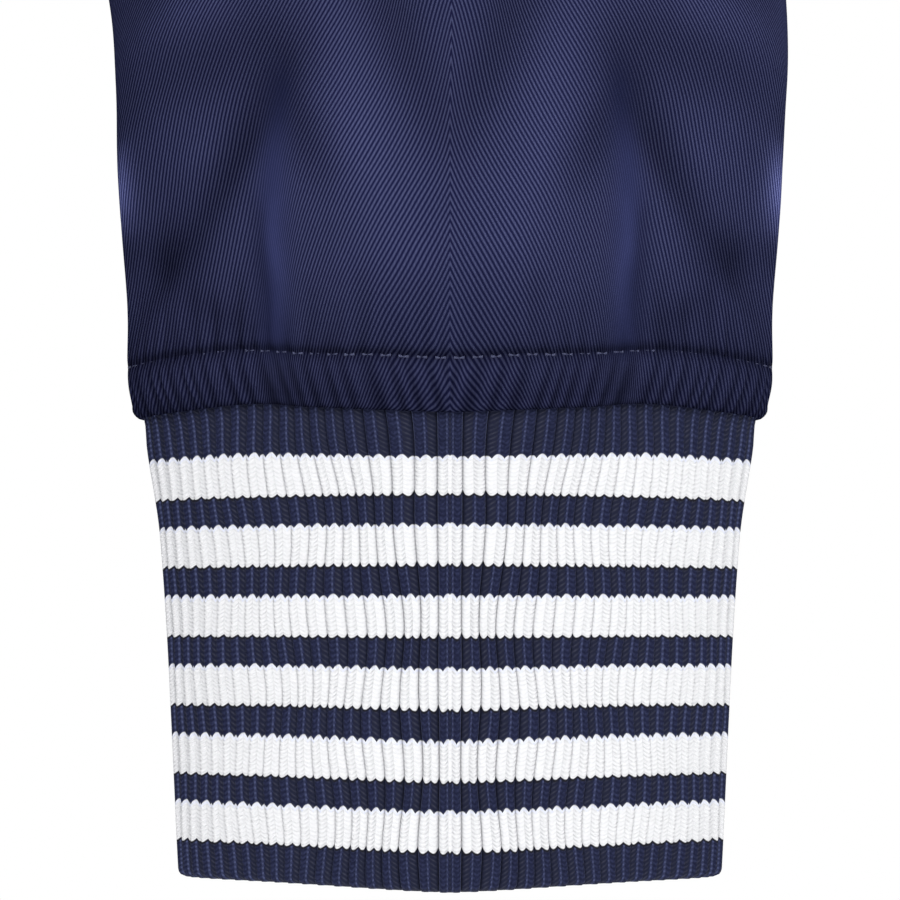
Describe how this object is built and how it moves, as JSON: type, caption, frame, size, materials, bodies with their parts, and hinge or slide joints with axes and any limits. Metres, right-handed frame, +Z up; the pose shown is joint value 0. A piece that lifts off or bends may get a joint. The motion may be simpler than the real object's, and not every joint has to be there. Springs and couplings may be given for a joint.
{
  "type": "track jacket",
  "caption": "Zip-front track jacket in satin twill, filled out as if worn, with a stand collar and knitted rib cuffs, collar and hem band, the cuffs striped.",
  "frame": {"origin": "on the centre line, level with the two neck points of the shoulder seams, where the wearer's shoulders hold the jacket up", "axes": "+Z up, the front faces -Y, the wearer's left is at +X"},
  "size_m": [0.7444, 0.283, 0.726],
  "materials": {
    "twill": "satin nylon twill with a fine diagonal line",
    "rib": "matt knitted rib",
    "striped_rib": "matt knitted rib in white and navy stripes",
    "tape": "woven zip tape",
    "zip_metal": "dark navy enamel, satin"
  },
  "bodies": {
    "garment": {"front_left": "twill", "front_right": "twill", "back": "twill", "sleeve_left": "twill", "sleeve_right": "twill", "cuff_left": "striped_rib", "cuff_right": "striped_rib", "hem_band": "rib", "collar": "rib", "zip_tape_left": "tape", "zip_tape_right": "tape", "zip_slider": "zip_metal", "zip_box": "zip_metal"},
    "pull_tab": {"pull_tab": "zip_metal"}
  },
  "joints": [
    {"name": "pull_tab_hinge", "type": "hinge", "parent": "garment", "child": "pull_tab", "pos_m": [0, -0.08087, -0.03345], "axis": [-1, 0, 0], "range_deg": [0, 165]}
  ]
}
